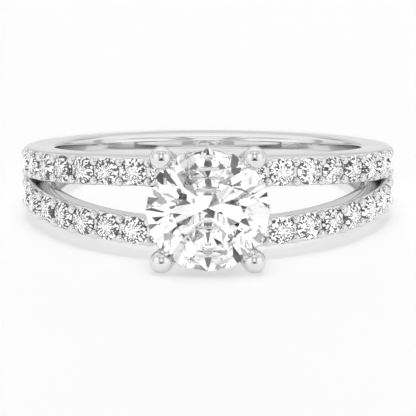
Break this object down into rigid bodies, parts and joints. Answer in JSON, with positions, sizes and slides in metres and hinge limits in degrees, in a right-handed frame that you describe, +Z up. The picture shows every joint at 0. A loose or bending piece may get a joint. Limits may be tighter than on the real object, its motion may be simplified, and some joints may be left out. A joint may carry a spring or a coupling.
{
  "type": "split shank ring",
  "caption": "Split shank finger ring lying on its side, with a round brilliant in a prong head and pave stones along both strands of each shoulder.",
  "frame": {"origin": "on the surface the ring lies on, under the middle of its bounding box", "axes": "+Z up from the surface, -Y towards the head and its centre stone, +X across the ring, so the finger axis leans 6.1 degrees from +Z towards +Y"},
  "size_m": [0.0204, 0.0232, 0.0066],
  "materials": {
    "white_metal": "high polish",
    "centre_diamond": "polished facets",
    "pave_diamond": "polished facets"
  },
  "bodies": {
    "root": {"ring_mount": "white_metal", "centre_stone": "centre_diamond", "pave_stone_01": "pave_diamond", "pave_stone_02": "pave_diamond", "pave_stone_03": "pave_diamond", "pave_stone_04": "pave_diamond", "pave_stone_05": "pave_diamond", "pave_stone_06": "pave_diamond", "pave_stone_07": "pave_diamond", "pave_stone_08": "pave_diamond", "pave_stone_09": "pave_diamond", "pave_stone_10": "pave_diamond", "pave_stone_11": "pave_diamond", "pave_stone_12": "pave_diamond", "pave_stone_13": "pave_diamond", "pave_stone_14": "pave_diamond", "pave_stone_15": "pave_diamond", "pave_stone_16": "pave_diamond", "pave_stone_17": "pave_diamond", "pave_stone_18": "pave_diamond", "pave_stone_19": "pave_diamond", "pave_stone_20": "pave_diamond", "pave_stone_21": "pave_diamond", "pave_stone_22": "pave_diamond", "pave_stone_23": "pave_diamond", "pave_stone_24": "pave_diamond", "pave_stone_25": "pave_diamond", "pave_stone_26": "pave_diamond", "pave_stone_27": "pave_diamond", "pave_stone_28": "pave_diamond", "pave_stone_29": "pave_diamond", "pave_stone_30": "pave_diamond", "pave_stone_31": "pave_diamond", "pave_stone_32": "pave_diamond"}
  },
  "joints": []
}
